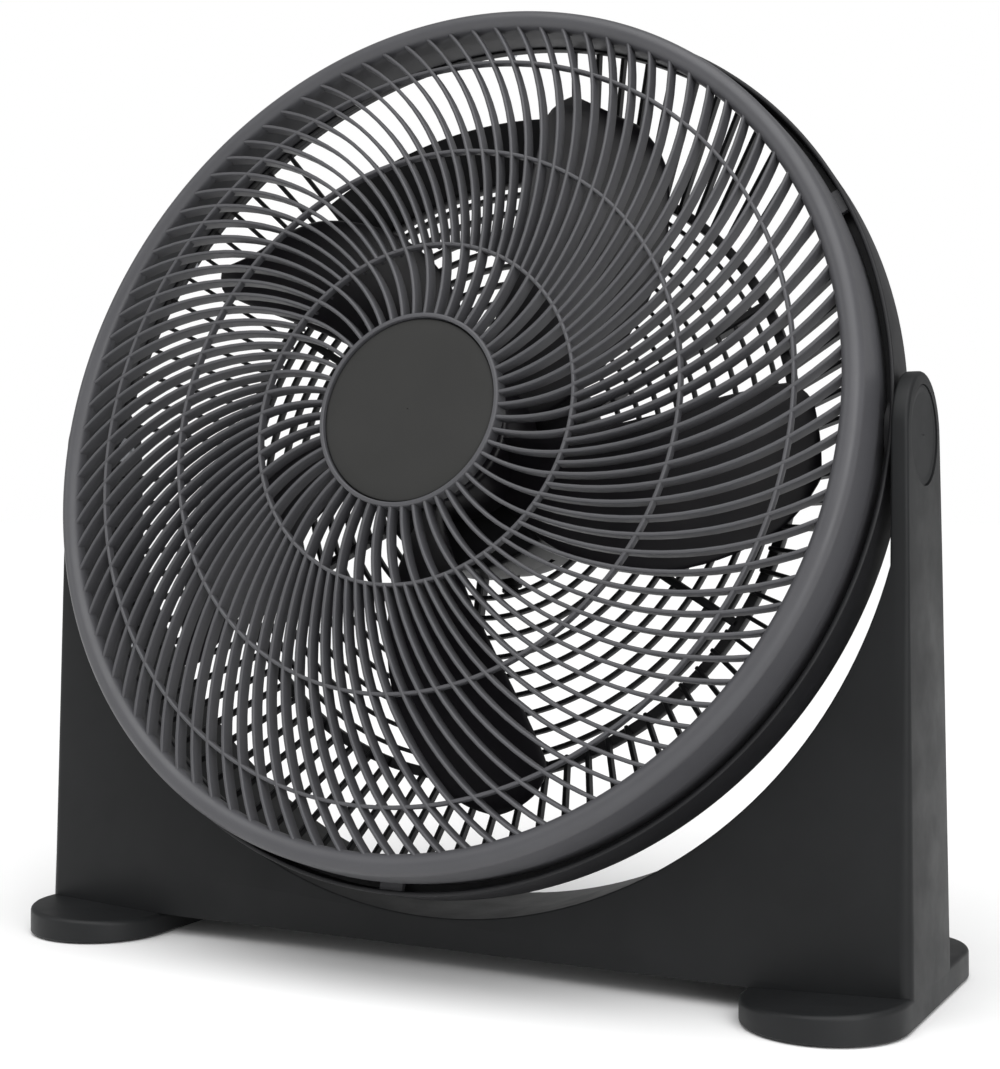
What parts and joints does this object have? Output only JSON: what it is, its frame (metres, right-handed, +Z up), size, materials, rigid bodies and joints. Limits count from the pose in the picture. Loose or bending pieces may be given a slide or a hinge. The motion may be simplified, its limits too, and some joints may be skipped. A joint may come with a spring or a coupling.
{
  "type": "floor fan",
  "caption": "Round tilting floor fan: swirled front grille, bladed impeller and rear motor in a head held by two side pivots in a U-shaped stand on flat feet.",
  "frame": {"origin": "on the floor, midway between the feet and directly under the tilt axis, at the centre of the footprint", "axes": "+Z up, the front grille faces -Y tipped 15 degrees upward, +X to the viewer's right seen from the front; the tilt axis runs along X at 0.296 m"},
  "size_m": [0.545, 0.2338, 0.5523],
  "materials": {
    "stand_plastic": "satin moulded, near black with a faint green-grey cast",
    "foot_plastic": "satin moulded, near black",
    "pivot_cap_plastic": "fine matt texture",
    "grille_plastic": "satin moulded charcoal with a faint purple cast",
    "cap_plastic": "fine matt texture, blank",
    "housing_plastic": "satin moulded, near black",
    "blade_plastic": "smooth moulded, near black",
    "nut_plastic": "moulded",
    "knob_plastic": "moulded",
    "switch_plastic": "moulded",
    "capacitor_plastic": "moulded box",
    "washer_nylon": "natural nylon",
    "pad_rubber": "matt",
    "gland_rubber": "matt",
    "screw_steel": "zinc plated",
    "bolt_steel": "zinc plated",
    "shaft_steel": "ground",
    "lamination_steel": "stacked sheet",
    "motor_aluminium": "die cast",
    "winding_copper": "enamelled copper wire",
    "bearing_bronze": "sintered bronze"
  },
  "bodies": {
    "stand": {"stand_shell": "stand_plastic", "stand_back": "stand_plastic", "stand_screws": "screw_steel", "left_foot": "foot_plastic", "right_foot": "foot_plastic", "foot_screws": "screw_steel", "foot_pads": "pad_rubber", "left_pivot_cap": "pivot_cap_plastic", "right_pivot_cap": "pivot_cap_plastic", "friction_washers": "washer_nylon"},
    "head": {"pivot_bolts": "bolt_steel", "pivot_nuts": "bolt_steel", "front_grille": "grille_plastic", "front_cap": "cap_plastic", "rear_housing": "housing_plastic", "rear_grille": "housing_plastic", "grille_screws": "screw_steel", "motor_front_bell": "motor_aluminium", "motor_rear_bell": "motor_aluminium", "stator_core": "lamination_steel", "stator_windings": "winding_copper", "front_bearing": "bearing_bronze", "rear_bearing": "bearing_bronze", "motor_screws": "screw_steel", "motor_cover": "housing_plastic", "cover_screws": "screw_steel", "capacitor": "capacitor_plastic", "rotary_switch": "switch_plastic", "cord_gland": "gland_rubber"},
    "rotor": {"motor_shaft": "shaft_steel", "rotor_core": "lamination_steel", "fan_impeller": "blade_plastic", "blade_nut": "nut_plastic"},
    "knob": {"speed_knob": "knob_plastic", "switch_spindle": "shaft_steel"}
  },
  "joints": [
    {"name": "head_tilt", "type": "hinge", "parent": "stand", "child": "head", "pos_m": [0, 0, 0.296], "axis": [-1, 0, 0], "range_deg": [-30, 75]},
    {"name": "blade_spin", "type": "hinge", "parent": "head", "child": "rotor", "pos_m": [0, 0, 0.296], "axis": [0, -0.9659, 0.2588], "continuous": true},
    {"name": "knob_turn", "type": "hinge", "parent": "head", "child": "knob", "pos_m": [0, -0.00802, 0.26606], "axis": [0, 0.9659, -0.2588], "range_deg": [0, 135]}
  ]
}
